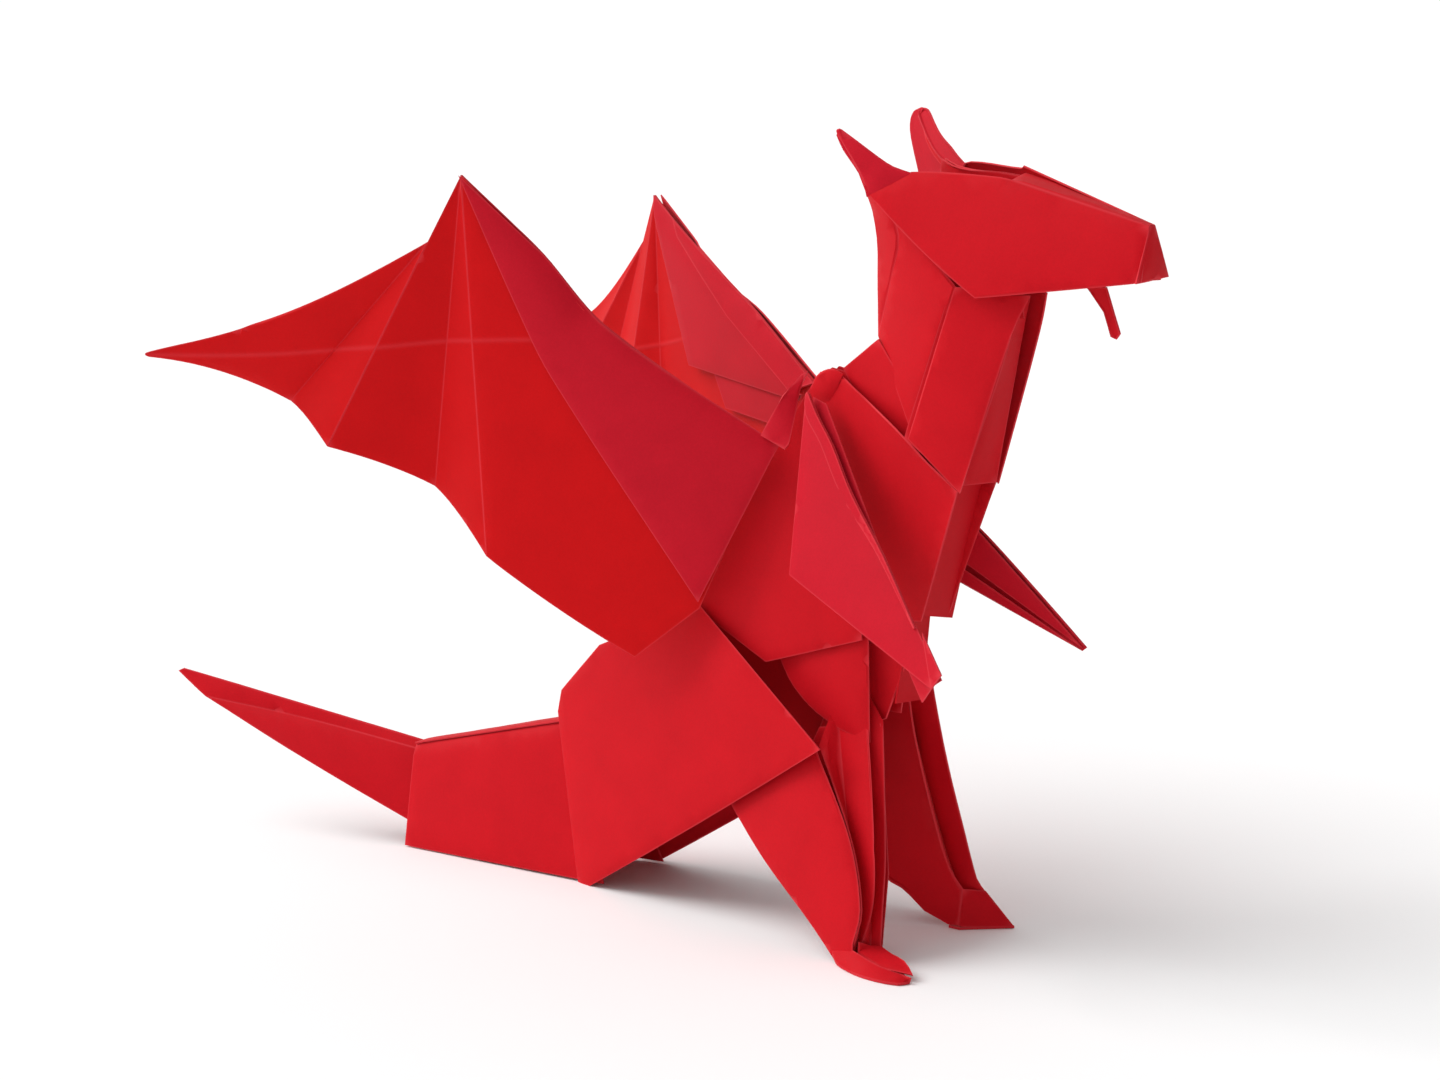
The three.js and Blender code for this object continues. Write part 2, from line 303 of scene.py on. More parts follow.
def paper_sheet(name, patches, presses=(), crease=None, plain=(), thick=LAYER, seed=0):
    """One sheet of paper. `patches` are (outline, bulge) pairs that share their creases,
    `presses` the arguments of press(), `crease` tells the distance to an old crease, and an
    edge that runs along a `plain` line isn't paler than the sheet."""
    points = np.zeros((0, 3))
    triangles = np.zeros((0, 3), int)
    edge = np.zeros(0, bool)
    for outline, bulge in patches:
        new_points, new_triangles, on_rim = span(outline, bulge)
        triangles = np.vstack([triangles, new_triangles + len(points)])
        points = np.vstack([points, new_points])
        edge = np.concatenate([edge, on_rim])
    _, first, weld = np.unique(np.round(points, 2), axis=0, return_index=True, return_inverse=True)
    points, edge, triangles = points[first], edge[first], weld.ravel()[triangles]
    for push in presses:
        points = press(points, *push)
    a, b, c = (points[triangles[:, i]] for i in range(3))
    face_normals = np.cross(b - a, c - a)
    normals = np.zeros_like(points)
    for i in range(3):
        np.add.at(normals, triangles[:, i], face_normals)
    normals /= np.linalg.norm(normals, axis=1)[:, None]
    points = points + normals * (wave(points, seed) * WAVE * ~edge)[:, None]
    mesh = solid_mesh(name, points, normals, triangles, thick)
    for line in plain:
        edge = edge & (distance_to(points, np.array(line)) > PLAIN_REACH)
    from_crease = crease(points) if crease else np.full(len(points), FAR_AWAY)
    for attribute, values in (("paper_edge", edge), ("old_crease", from_crease)):
        layer = mesh.attributes.new(attribute, "FLOAT", "POINT")
        layer.data.foreach_set("value", np.tile(values, 2).astype(np.float32))
    return add_object(name, mesh)


def add_object(name, data):
    made = bpy.data.objects.new(name, data)
    bpy.context.scene.collection.objects.link(made)
    return made


def solid_mesh(name, points, normals, triangles, thick):
    """A mesh with both faces of a sheet and the cut edge between them."""
    count = len(points)
    directed = {(int(t[i]), int(t[(i + 1) % 3])) for t in triangles for i in range(3)}
    rim = sorted((a, b) for a, b in directed if (b, a) not in directed)
    top = points + normals * thick / 2
    bottom = points - normals * thick / 2
    faces = [tuple(int(i) for i in t) for t in triangles]
    faces += [tuple(int(i) + count for i in t[::-1]) for t in triangles]
    faces += [(b, a, a + count, b + count) for a, b in rim]
    mesh = bpy.data.meshes.new(name)
    mesh.from_pydata([tuple(p * MM) for p in np.vstack([top, bottom])], [], faces)
    mesh.validate()
    mesh.polygons.foreach_set("use_smooth", [True] * len(mesh.polygons))
    mesh.set_sharp_from_angle(angle=math.radians(SHARP_ANGLE))
    return mesh


# ---- Paper ----

FIBRE = {"Scale": 2600.0, "Detail": 4.0, "Roughness": 0.65}  # fine fibres, scale per metre
MOTTLE = {"Scale": 130.0, "Detail": 3.0, "Roughness": 0.5}  # cloudy unevenness of the dye
DARK_DYE, LIGHT_DYE = 0.90, 1.08  # how far the dye swings about its colour
FIBRE_SHARE = 0.16  # how much single fibres show in the colour
PALE_WEAR_AND_HIGHLIGHT = (0.80, 0.07, 0.09, 1)  # colour of the paler edges and folds: rubbed fibre on folds and old creases, and a painted highlight on the edges
PALE_SHARE = 0.42  # how much of it shows on an edge
EDGE_FALL = 1.6  # how fast the paler band fades from an edge
CREASE_FALL = 6.0  # the same for an old crease, per square millimetre
CREASE_SHARE = 0.45  # an old crease's paleness beside an edge's
ROUGHNESS = (0.52, 0.68)  # between and on the fibres
PAPER_LOOK = {
    "Specular IOR Level": 0.10, "Sheen Weight": 0.05, "Sheen Roughness": 0.5,
    "Sheen Tint": (1.0, 0.55, 0.55, 1),
}
GRAIN_HEIGHT = 0.00004  # metres
CREASE_HEIGHT = 0.00012


def set_inputs(node, values):
    for name, value in values.items():
        node.inputs[name].default_value = value


def add_node(tree, kind, inputs=None, **settings):
    node = tree.nodes.new("ShaderNode" + kind)
    for key, value in settings.items():
        setattr(node, key, value)
    set_inputs(node, inputs or {})
    return node


def new_material(name):
    material = bpy.data.materials.new(name)
    material.use_nodes = True
    return material, material.node_tree, material.node_tree.nodes["Principled BSDF"]


def paper_material(slot, colour):
    """Matt dyed paper: fine fibre, faint mottling, and paler cut edges and folds, partly rubbed
    fibre and partly a painted highlight where light catches them.
    """
    material, tree, shader = new_material(slot)
    link = tree.links.new

    def work_out(operation, *values):
        """The output of a maths node; each value is a number or another node's output."""
        node = add_node(tree, "Math", operation=operation)
        for socket, value in zip(node.inputs, values):
            if isinstance(value, float):
                socket.default_value = value
            else:
                link(value, socket)
        return node.outputs[0]

    place = add_node(tree, "TexCoord")
    fibre = add_node(tree, "TexNoise", FIBRE)
    mottle = add_node(tree, "TexNoise", MOTTLE)
    for texture in (fibre, mottle):
        link(place.outputs["Object"], texture.inputs["Vector"])

    # Colour: the paper's tint, a little uneven over the sheet and from fibre to fibre; the flap
    # paper's tint holds painted sheen.
    darker = tuple(c * DARK_DYE for c in colour)
    lighter = tuple(min(1.0, c * LIGHT_DYE + 0.001) for c in colour)
    tone = add_node(tree, "Mix", data_type="RGBA")
    set_inputs(tone, {"A": (*darker, 1), "B": (*lighter, 1)})
    link(mottle.outputs["Fac"], tone.inputs["Factor"])
    speck = add_node(tree, "Mix", data_type="RGBA", blend_type="OVERLAY")
    set_inputs(speck, {"Factor": FIBRE_SHARE})
    link(tone.outputs["Result"], speck.inputs["A"])
    link(fibre.outputs["Fac"], speck.inputs["B"])

    # Folds and cut edges are paler: partly rubbed fibre, partly a painted highlight where light
    # catches the edges.
    band = add_node(tree, "Attribute", attribute_name="paper_edge")
    edge_wear_and_highlight = work_out("POWER", band.outputs["Fac"], EDGE_FALL)
    distance = add_node(tree, "Attribute", attribute_name="old_crease").outputs["Fac"]
    square = work_out("MULTIPLY", distance, distance)
    crease = work_out("EXPONENT", work_out("MULTIPLY", square, -CREASE_FALL))
    pale = work_out("MAXIMUM", edge_wear_and_highlight, work_out("MULTIPLY", crease, CREASE_SHARE))
    edge = add_node(tree, "Mix", data_type="RGBA")
    set_inputs(edge, {"B": PALE_WEAR_AND_HIGHLIGHT})
    link(work_out("MULTIPLY", pale, PALE_SHARE), edge.inputs["Factor"])
    link(speck.outputs["Result"], edge.inputs["A"])
    link(edge.outputs["Result"], shader.inputs["Base Color"])

    # Relief: fibre grain, and the raised line of an old crease.
    grain = add_node(tree, "Bump", {"Strength": 0.35, "Distance": GRAIN_HEIGHT})
    link(fibre.outputs["Fac"], grain.inputs["Height"])
    ridge = add_node(tree, "Bump", {"Strength": 0.6, "Distance": CREASE_HEIGHT})
    link(crease, ridge.inputs["Height"])
    link(grain.outputs["Normal"], ridge.inputs["Normal"])
    link(ridge.outputs["Normal"], shader.inputs["Normal"])
    rough = add_node(tree, "MapRange")
    set_inputs(rough, {"To Min": ROUGHNESS[0], "To Max": ROUGHNESS[1]})
    link(fibre.outputs["Fac"], rough.inputs["Value"])
    link(rough.outputs["Result"], shader.inputs["Roughness"])
    set_inputs(shader, PAPER_LOOK)
    return material


BODY, FLAP = "red_paper_body", "red_paper_flap"
PAPER_TINTS = {
    BODY: (0.57, 0.002, 0.009),
    # The flap paper is a little pinker and duller than the body paper: that tint is painted sheen,
    # the glancing reflection that the flaps catch from the bright surroundings.
    FLAP: (0.54, 0.004, 0.017),
    "red_paper_membrane": (0.61, 0.001, 0.003),
}
PAPERS = {slot: paper_material(slot, paper_tint) for slot, paper_tint in PAPER_TINTS.items()}


def place_sheet(name, patches, body, slot, replaced=(), **details):
    """Makes a sheet, gives it its paper and lets it ride on its body."""
    seed = len(name) * 1.7 + len(bpy.data.meshes) * 0.61    # so no two sheets wave alike
    piece = paper_sheet(name, patches, seed=seed, **details)
    piece.data.materials.append(PAPERS[slot])
    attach(piece, body)
    if replaced:
        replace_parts(piece, *replaced)


def panel(node, points=None, soft=(), bows=None, bulge=0.0, **details):
    """The sheet that stands for one CAD plate, with its outline unless `points` are given."""
    points = corners[node] if points is None else np.array(points)
    outline = outward_loop(trace(points, soft, bows), outward[node])
    name = node.replace("_panel", "") + "_sheet"
    place_sheet(name, [(outline, bulge)], body_of[node], slot_of[node], [node], **details)


# ---- Camera, floor and light ----

CAMERA_AZIMUTH = 38.0  # degrees, from the dragon's right side towards its front
CAMERA_ELEVATION = 11.0
CAMERA_DISTANCE = 520.0
CAMERA_TARGET = (15.5, 0.0, 63.0)
CAMERA_LENS = 76.47

BRIGHT_SIDE = (-0.90, -0.38, 0.40)  # the sky is brightest here, behind the near wing
SKY = (0.03, 1.0)  # its level on the dark and on the bright side
KEY_FROM = (-0.95, -0.55, 1.10)
KEY_SPREAD = 40.0
KEY_STRENGTH = 2.0
FLOOR_REACH = 60.0  # metres
FLOOR_LOOK = {"Base Color": (0.97, 0.97, 0.97, 1), "Roughness": 0.9, "Specular IOR Level": 0.1}


def set_camera():
    azimuth, elevation = math.radians(CAMERA_AZIMUTH), math.radians(CAMERA_ELEVATION)
    target = Vector(CAMERA_TARGET) * MM
    away = Vector((
        math.sin(azimuth) * math.cos(elevation),
        -math.cos(azimuth) * math.cos(elevation),
        math.sin(elevation),
    ))
    data = bpy.data.cameras.new("camera")
    data.lens = CAMERA_LENS
    data.clip_start = 0.01
    camera = add_object("camera", data)
    camera.location = target + away * CAMERA_DISTANCE * MM
    camera.rotation_euler = away.to_track_quat("Z", "Y").to_euler()
    bpy.context.scene.camera = camera


def add_sun(name, direction, spread, strength):
    """A broad, even light from far away, so the floor stays one tone out to the horizon."""
    data = bpy.data.lights.new(name, "SUN")
    data.angle = math.radians(spread)
    data.energy = strength
    turn = Vector(direction).to_track_quat("Z", "Y").to_euler()
    add_object(name, data).rotation_euler = turn


def set_studio():
    scene = bpy.context.scene
    scene.view_settings.view_transform = "Standard"
    world = bpy.data.worlds.new("studio")
    world.use_nodes = True
    tree = world.node_tree
    link = tree.links.new
    place = add_node(tree, "TexCoord")
    facing = add_node(tree, "VectorMath", operation="DOT_PRODUCT")
    facing.inputs[1].default_value = Vector(BRIGHT_SIDE).normalized()
    level = add_node(tree, "MapRange")
    set_inputs(level, {"From Min": -1.0, "To Min": SKY[0], "To Max": SKY[1]})
    link(place.outputs["Generated"], facing.inputs[0])
    link(facing.outputs["Value"], level.inputs["Value"])
    link(level.outputs["Result"], tree.nodes["Background"].inputs["Color"])

    # The backdrop itself is plain white, level with the floor, and only the light is graded.
    backdrop = add_node(tree, "Background", {"Color": (1.0, 1.0, 1.0, 1)})
    path = add_node(tree, "LightPath")
    either = add_node(tree, "MixShader")
    link(path.outputs["Is Camera Ray"], either.inputs["Fac"])
    link(tree.nodes["Background"].outputs["Background"], either.inputs[1])
    link(backdrop.outputs["Background"], either.inputs[2])
    link(either.outputs["Shader"], tree.nodes["World Output"].inputs["Surface"])
    scene.world = world
    add_sun("key_sun", KEY_FROM, KEY_SPREAD, KEY_STRENGTH)

    mesh = bpy.data.meshes.new("floor")
    r = FLOOR_REACH
    mesh.from_pydata([(-r, -r, 0), (r, -r, 0), (r, r, 0), (-r, r, 0)], [], [(0, 1, 2, 3)])
    floor = add_object("floor", mesh)
    material, _, shader = new_material("pale_floor")
    set_inputs(shader, FLOOR_LOOK)
    mesh.materials.append(material)


set_camera()
set_studio()

# ---- Panels that meet on a fold ----

for side in SIDES:
    fold(f"{side}_torso_panel", f"{side}_chest_panel")
    fold(f"{side}_neck_rear_panel", f"{side}_neck_side_panel", f"{side}_collar_panel")
    fold(f"{side}_head_panel", "snout_bridge", "snout_front", f"{side}_ear")
    fold(f"{side}_leg_inner_panel", f"{side}_leg_front_strip")


# ---- Helpers for single folds ----
# Offsets from a panel's corner are (ahead, left, up) and say where a fold really runs. Those
# given with a side are written for the right side and mirrored for the left.

TO_FLOOR = np.array([1.0, 1.0, 0.0])  # brings a point down to the floor
TO_MIDDLE = np.array([1.0, 0.0, 1.0])  # brings a point to the dragon's middle plane
OFF_FLOOR = (0.0, 0.0, 0.3)  # a sole's middle lies this far up
RIGHT = np.array([0.0, -1.0, 0.0])


def mirrored(side, *offsets):
    """Offsets written for the right side, for either side."""
    flip = np.array([1.0, -SIDES[side], 1.0])
    return [flip * offset for offset in offsets]


def around(corner, side, *offsets):
    """Points at the given offsets from a corner."""
    return [corner + offset for offset in mirrored(side, *offsets)]


def beside(corner, side, *offset):
    """The point at one offset from a corner."""
    return around(corner, side, offset)[0]


def moved(points, *places):
    """Corners by their number, each moved by the offset that comes after the number."""
    return [points[number] + offset for number, *offset in places]


def extra(name, points, body, slot, facing, soft=(), bulge=0.0, **details):
    """A fold that no CAD plate stands for."""
    outline = outward_loop(trace(np.array(points), soft), facing)
    place_sheet(name, [(outline, bulge)], body, slot, **details)


def strips(name, lines, body, slot, replaced, **details):
    """One sheet creased along neighbouring lines, each a list of points from top to bottom."""
    patches = []
    for left, right in zip(lines[:-1], lines[1:]):
        ends = {0, len(left) - 1, len(left), len(left) + len(right) - 1}
        loop = [*left, *right[::-1]]
        patches.append((trace(loop, [i for i in range(len(loop)) if i not in ends]), 0.0))
    place_sheet(name, patches, body, slot, replaced, **details)


# ---- Wings ----

PLEAT_SOFTNESS = 5.0  # how far a pleat's fold is rounded, at the trailing edge
PLEAT_REACH = 45.0  # how far from the peak the rounding is full
BLADE_REACH = 30.0  # the same from the bend
RIDGE_DROP = 0.20  # how much the rounding takes off a ridge or fills a valley
HEM_ROLL = 1.5  # how far the leading edge rolls in towards the membrane
HEM_LIFT = 0.55  # gap between the hem strip and the flap below it
SECOND_DROP = (0.0, 0.0, -5.6)  # how far the second layer hangs below the flap


def on_hinge(name, point):
    """The point of a hinge's axis that is nearest."""
    place, axis = hinges[name]
    return place + axis * ((point - place) @ axis)


def build_wing(side):
    """Five pleated membrane panels that meet on the hinges, and the flaps of the leading edge."""
    node = f"{side}_wing_membrane_"
    out = outward[node + "1"]
    c1, c2, c3, c4, c5 = (corners[node + str(i)] for i in range(1, 6))
    peak = hinges[f"{side}_wing_pleat_1"][0]
    bend = hinges[f"{side}_wing_pleat_3"][0]
    meetings = ((c1[1], c2[2]), (c2[1], c3[2]), (c3[1], c4[2]), (c4[1], c5[3]))
    ridge_in, valley_in, ridge_out, valley_out = (
        on_hinge(f"{side}_wing_pleat_{i}", (a + b) / 2) for i, (a, b) in enumerate(meetings, 1)
    )

    # Rounded folds, shared by the two panels that meet there.
    first, second, third, fourth = (
        ([apex, end], out * RIDGE_DROP * share, PLEAT_SOFTNESS, apex, reach)
        for apex, end, share, reach in (
            (peak, ridge_in, -1.0, PLEAT_REACH), (peak, valley_in, 1.6, PLEAT_REACH),
            (bend, ridge_out, -1.7, BLADE_REACH), (bend, valley_out, 1.4, BLADE_REACH),
        )
    )

    # An old crease crosses every pleat, from the trailing tip towards the root.
    tip = c5[2]
    toe = corners[f"{side}_wing_leading_flap"][1]
    across_wing = unit(np.cross(tip - along(toe, c1[1], 0.12), out))

    def old_crease(points):
        sag = 1.6 * np.sin(np.linalg.norm(points - tip, axis=1) / 14.0)
        return (points - tip) @ across_wing + sag * 0.5

    root = [c1[2], c1[3], c1[4], along(c1[5], c1[3], 0.02), along(c1[6], c1[2], 0.02)]
    blade = rounded([bend, c5[1], tip, valley_out], 2, 1.6)
    sheets = (
        ([peak, ridge_in, *root], (5, 6), {1: (0.2, 0.0, -0.7)}, 0.5, [first]),
        ([peak, valley_in, ridge_in], (), {1: (0.0, 0.0, 0.8)}, 0.0, [first, second]),
        ([peak, bend, ridge_out, valley_in], (), {2: (0.0, 0.0, 0.6)}, 0.0, [second, third]),
        ([bend, valley_out, ridge_out], (), {1: (0.0, 0.0, 0.6)}, 0.0, [third, fourth]),
        (blade, (1,), {0: (0.0, 0.0, -0.7), len(blade) - 2: (0.0, 0.0, 1.4)}, 0.6, [fourth]),
    )
    for number, (outline, soft, bows, bulge, presses) in enumerate(sheets, 1):
        panel(node + str(number), outline, soft, bows, bulge, presses=presses, crease=old_crease)
    build_wing_flaps(side, out)


def build_wing_flaps(side, out):
    """The flap in front of the membrane, the one behind it, and the layers that lie on that."""
    wing = f"{side}_wing"
    flap = corners[f"{wing}_leading_flap"]
    hem = [flap[0], flap[6], along(flap[6], flap[5], 0.75)]
    root_roll = ([flap[6], flap[5], flap[4]], -out * 0.8, 3.0)
    panel(f"{wing}_leading_flap", flap, soft=(1, 2, 5, 6), bulge=0.7,
          presses=[(hem, -out * HEM_ROLL, 6.5, flap[0]), root_roll])
    inner = corners[f"{wing}_inner_flap"]
    inner_roll = ([inner[0], inner[5], inner[4], inner[3]], out * 0.9, 3.5)
    panel(f"{wing}_inner_flap", inner, soft=(4, 5), bulge=-0.3, presses=[inner_roll])

    # A hem folded over the inner flap along the leading edge, and a second layer below it.
    strip = np.array([
        along(inner[0], inner[5], 0.45), along(inner[0], inner[2], 0.22),
        along(inner[0], inner[2], 0.62), along(inner[2], inner[3], 0.35),
        inner[3], inner[4], inner[5],
    ]) - out * HEM_LIFT
    strip_roll = ([strip[0], strip[6], strip[5], strip[4]], out * 1.2, 4.0)
    extra(f"{wing}_hem_strip", strip, wing, FLAP, out, soft=(5, 6), bulge=0.2,
          presses=[strip_roll])
    second = np.array([
        along(inner[1], inner[2], 0.25), along(inner[1], inner[2], 0.38) + SECOND_DROP,
        along(inner[1], inner[2], 0.95) + SECOND_DROP, inner[2],
        along(inner[2], inner[3], 0.5), along(inner[1], inner[3], 0.5),
    ]) + out * 0.5
    extra(f"{wing}_second_layer", second, wing, FLAP, out)


def build_gusset():
    """The small fold between the near wing and the shoulder, curled at its end."""
    places = (
        (0.6, 0.4, 1.7), (1.7, 0.9, 2.5), (0.9, -0.3, -0.7), (1.5, -2.6, -5.4),
        (1.8, -4.4, -9.0), (1.5, -5.1, -9.8), (-3.0, -5.6, -7.9), (-0.8, -2.6, -1.4),
    )
    outline = around(corners["right_wing_gusset"][0], "right", *places)
    panel("right_wing_gusset", outline, soft=(3,), bulge=0.2)


# ---- Torso and haunches ----

FOLD_ROLL = 7.0  # how far from a haunch's or belly flap's edge the paper starts to curl


def build_torso(side):
    """The body's side, the chest panel that overlaps it, the belly flap and the haunch."""
    inward = -SIDES[side] * np.array([0.0, 1.0, 0.0])
    chest = corners[f"{side}_chest_panel"]
    torso = corners[f"{side}_torso_panel"]
    top = [
        beside(torso[0], side, -1.2, 0.2, 1.6),
        *around(torso[1], side, (4.4, 0.0, 3.0), (0.6, -0.4, -0.2)),
    ]
    panel(f"{side}_torso_panel", [*top, *torso[2:]], bulge=0.6, bows={3: (0.0, 0.0, -0.3)})

    # The chest panel's top edge stands away from the body, and the neck goes in behind it.
    lip = around(chest[0], side, (-7.0, -0.4, 1.4), (-3.6, -0.4, 1.9), (3.9, -2.6, -2.1),
                 (11.1, -4.7, -5.9), (17.3, -4.8, -10.7))
    front = [beside(chest[3], side, 1.8, -2.0, 0.3), chest[2]]
    under = [chest[1], beside(torso[5], side, -3.0, -0.1, 5.5)]
    panel(f"{side}_chest_panel", [*lip, *front, *under], soft=(2, 3), bulge=-0.9)

    flap = corners[f"{side}_belly_flap"]
    curved = [
        flap[0], flap[1],
        along(flap[1], flap[2], 0.45) + (-0.8, 0.0, -1.6),
        along(flap[1], flap[2], 0.95) + (0.0, 0.0, -1.2),
        beside(flap[3], side, 0.6, -0.3, -2.6),
    ]
    panel(f"{side}_belly_flap", curved, soft=(2, 3), bulge=0.5,
          presses=[([flap[1], flap[2]], inward * 0.8, FOLD_ROLL)])
    haunch = corners[f"{side}_haunch_panel"]
    panel(f"{side}_haunch_panel", haunch, bulge=1.1, bows={5: (0.0, 0.0, -0.3)},
          presses=[([haunch[3], haunch[4]], inward * 0.3, FOLD_ROLL)])


def build_shoulder_and_belly_folds():
    """A rolled fold on top of the shoulder, and a fold that shows beside the belly flap."""
    cap = around(corners["right_torso_panel"][1], "right", (0.7, -1.1, -1.6), (1.9, -1.2, 1.2),
                 (3.6, -1.3, 2.5), (5.6, -1.4, 3.0), (7.6, -1.4, 2.3), (4.2, -0.9, -3.4))
    extra("right_shoulder_fold", cap, "torso", BODY, (0.0, -1.0, 0.2), soft=(1, 2, 3),
          bulge=0.2, plain=[[cap[4], cap[5], cap[0]]])
    inner = around(corners["right_belly_flap"][3], "right", (-2.7, 2.8, 14.0),
                   (7.0, 2.8, 15.1), (5.3, 2.8, 10.6), (1.6, 2.8, 1.0), (-1.4, 2.8, -0.4))
    extra("belly_inner_fold", inner, "torso", BODY, (0.0, -1.0, 0.1), soft=(2,), bulge=-0.4)


def build_chest_front():
    """Two narrow strips in shadow between the chest panels, and the keel behind them."""
    upper = moved(corners["chest_front"], (0, 0.2, -0.2, 3.0), (1, 0.4, -0.5, -0.6),
                  (2, 0.9, 2.1, -2.4), (3, 1.1, 2.5, 4.4))
    panel("chest_front", upper, plain=[[*upper, upper[0]]])
    lower = corners["chest_lower_layer"]
    layer = moved(lower, (0, -0.6, -0.2, 2.6), (1, -1.6, -0.6, -4.6),
                  (2, -0.6, 0.4, -5.0), (3, -0.6, 0.2, 2.6))
    panel("chest_lower_layer", layer, plain=[[*layer, layer[0]]])

    # The keel between the legs closes the chest when they swing.
    keel = around((lower[0] + lower[3]) / 2, "right", (-0.8, 0.0, 6.4), (-7.6, 0.0, 6.4),
                  (-7.6, 0.0, -17.0), (-4.4, 0.0, -17.0))
    extra("chest_keel", keel, "torso", BODY, RIGHT)


def build_spine():
    """One sheet along the back, from the shoulders over the saddle to the rump."""
    nodes = ["back_panel", "saddle_panel", "rump_panel"]
    back, saddle, rump = (corners[node] for node in nodes)
    rails = {}
    for side, (high, low) in {"left": (0, 1), "right": (3, 2)}.items():
        wider = mirrored(side, (0.0, -0.7, 0.0))[0]
        rails[side] = [
            back[high],
            (back[low] + saddle[high]) / 2 + wider,
            (saddle[low] + rump[high]) / 2 + wider,
            rump[low] + wider,
            rump[low] + wider + (0.8, 0.0, -5.6),
        ]
    strips("spine_sheet", [rails["right"], rails["left"]], "torso", BODY, nodes)


# ---- Neck ----

SIDE_LIFT = 0.35  # the neck's side panel lies this far off the rear one
SEAM_LIFT = 0.02  # and the layer between them this far


def neck_lines(side):
    """The neck's rear edge and the curved fold beside it, from the head down."""
    top, low = corners[f"{side}_neck_rear_panel"][:2]
    end = beside(low, side, -0.6, 0.9, 0.4)
    edge = around(top, side, (-6.9, 1.0, 5.2), (-4.3, 2.4, -3.0), (-4.6, 3.4, -11.5))
    turn = around(top, side, (-0.4, -0.9, 1.2), (1.9, -0.2, -4.2), (-0.4, 1.4, -10.6))
    return [*edge, end], [*turn, end]


def build_neck_side(side):
    """The rear panel with its fold, the side panel over it, and the collar below."""
    node = f"{side}_neck_rear_panel"
    rear = corners[node]
    edge, turn = neck_lines(side)
    strip = trace([*edge, *turn[2::-1]], (1, 2, 4, 5))
    main = trace([*turn, rear[2], rear[3]], (1, 2))
    patches = [(outward_loop(outline, outward[node]), 0.25) for outline in (strip, main)]
    place_sheet(f"{side}_neck_rear_sheet", patches, "neck", BODY, [node])

    rear_top, rear_low, front_low, front_high = corners[f"{side}_neck_side_panel"]
    out = outward[f"{side}_neck_side_panel"]
    notch = beside(front_high, side, -1.7, -0.3, -6.0)
    front_top = beside(front_high, side, 0.5, 1.4, 0.0)
    low = beside(front_low, side, 0.9, -0.6, -0.6)
    face = np.array([rear_top, rear_low, low, notch, front_top]) + out * SIDE_LIFT
    panel(f"{side}_neck_side_panel", face, soft=(3,), bulge=0.5)
    back_by = np.array([-0.9, 0.0, 0.0])
    under = [rear_top + back_by, rear_low + back_by * 1.1,
             along(rear_low, low, 0.5), along(rear_top, front_top, 0.5)]
    extra(f"{side}_neck_seam_layer", np.array(under) + out * SEAM_LIFT, "neck", BODY, out)

    collar = corners[f"{side}_collar_panel"]
    outline = [collar[0],
               *around(collar[1], side, (-2.6, -0.2, 0.2), (1.4, 0.0, -6.0)),
               *around(collar[2], side, (1.0, 1.0, -5.0), (1.8, 0.3, 2.5))]
    panel(f"{side}_collar_panel", outline, bulge=0.2)


def build_neck():
    for side in SIDES:
        build_neck_side(side)

    # The neck's inner layers reach up between the two sides of the head.
    side_panel = corners["right_neck_side_panel"]
    nape, jaw = side_panel[0] * TO_MIDDLE, side_panel[3] * TO_MIDDLE
    core = moved((nape, jaw), (0, -6.0, 0.0, 10.0), (1, -4.0, 0.0, 8.0), (1, -2.0, 0.0, -4.0),
                 (0, -2.0, 0.0, -4.0))
    extra("neck_inner_layer", core, "neck", BODY, RIGHT)
    back = [*neck_lines("right")[0], *neck_lines("left")[0][::-1]]
    panel("neck_back", back, soft=(1, 2, 5, 6))

    # The throat: two dark facets that meet on a ridge between the neck's sides.
    throat = {
        side: around(corners[f"{side}_neck_side_panel"][3], side, (-2.4, 1.4, -0.7),
                     (-3.4, 1.0, -4.0), (-6.2, 0.6, -13.0), (-13.0, -0.6, -31.0))
        for side in SIDES
    }
    throat["left"][2] += (0.8, 0.2, 0.0)
    throat["left"][3] += (3.4, 0.5, -0.2)
    ridge = [along(a, b, 0.2) + (0.6, 0.0, 0.0) for a, b in zip(throat["right"], throat["left"])]
    lines = [throat["right"], ridge, throat["left"]]
    strips("neck_front_sheet", lines, "neck", BODY, ["neck_front"])


# ---- Head ----

# How far an ear's tip leans in, towards the plane of the head's side.
EAR_LEAN = {"right": (-3.5, 4.5, 0.0), "left": (0.0, 0.0, 0.0)}
BROW_RISE = {"right": 0.3, "left": 1.4}
NOTCH = {"right": (0.0, 0.0, 0.0), "left": (-1.4, 0.0, 1.9)}
SLIT_LAYERS = (0.9, 2.0)  # how far in from the far side of the head its inner layers lie


